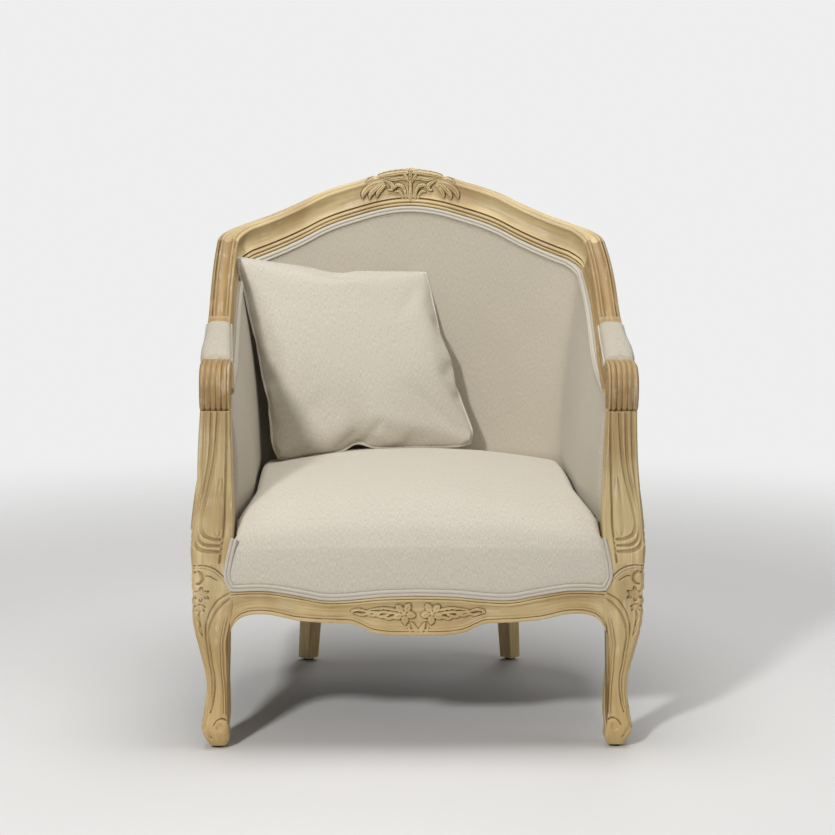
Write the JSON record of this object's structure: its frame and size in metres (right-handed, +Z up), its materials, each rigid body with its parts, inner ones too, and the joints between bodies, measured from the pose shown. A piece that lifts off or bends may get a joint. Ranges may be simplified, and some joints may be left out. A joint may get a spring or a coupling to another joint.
{
  "type": "bergere chair",
  "caption": "Low tub-shaped upholstered armchair with a carved limed-wood frame, cabriole front legs, a tight domed seat and a loose square scatter cushion.",
  "frame": {"origin": "on the floor, under the middle of the chair's overall width and depth", "axes": "+Z up, the chair faces -Y, +X is the sitter's left, which is the right-hand side seen from the front"},
  "size_m": [0.6952, 0.6693, 0.8803],
  "materials": {
    "limed_wood": "limed and waxed",
    "plain_beech": "planed",
    "linen": "woven melange",
    "piping": "double piping",
    "foam": "foam and wadding",
    "fibre_filling": "loose fibre",
    "jute": "woven bands",
    "dust_cloth": "non-woven",
    "spring_steel": "drawn wire",
    "glide": "moulded"
  },
  "bodies": {
    "chair": {"arm_left": "limed_wood", "arm_pad_cover_left": "linen", "arm_pad_cover_right": "linen", "arm_pad_foam_left": "foam", "arm_pad_foam_right": "foam", "arm_post_left": "limed_wood", "arm_post_right": "limed_wood", "arm_right": "limed_wood", "back_foam": "foam", "back_gimp": "piping", "back_rail": "limed_wood", "corner_block_left": "plain_beech", "corner_block_right": "plain_beech", "corner_block_screws": "spring_steel", "crest_rail": "limed_wood", "dust_cover": "dust_cloth", "foot_glides": "glide", "frame_dowels": "plain_beech", "front_batten": "plain_beech", "front_leg_left": "limed_wood", "front_leg_right": "limed_wood", "front_rail": "limed_wood", "inside_cover": "linen", "outside_arm_left": "linen", "outside_arm_right": "linen", "outside_back": "linen", "rear_leg_left": "limed_wood", "rear_leg_right": "limed_wood", "seat_cover": "linen", "seat_foam": "foam", "seat_gimp": "piping", "seat_hessian": "jute", "seat_springs": "spring_steel", "seat_webbing": "jute", "side_foam_left": "foam", "side_foam_right": "foam", "side_rail_left": "limed_wood", "side_rail_right": "limed_wood", "tub_webbing": "jute", "wing_rail_left": "limed_wood", "wing_rail_right": "limed_wood", "wing_stile_left": "plain_beech", "wing_stile_right": "plain_beech"},
    "scatter_cushion": {"cushion_cover": "linen", "cushion_filling": "fibre_filling"}
  },
  "joints": [
    {"name": "cushion_lift", "type": "slide", "parent": "chair", "child": "scatter_cushion", "axis": [0, 0, 1], "range_m": [0, 0.55]}
  ]
}
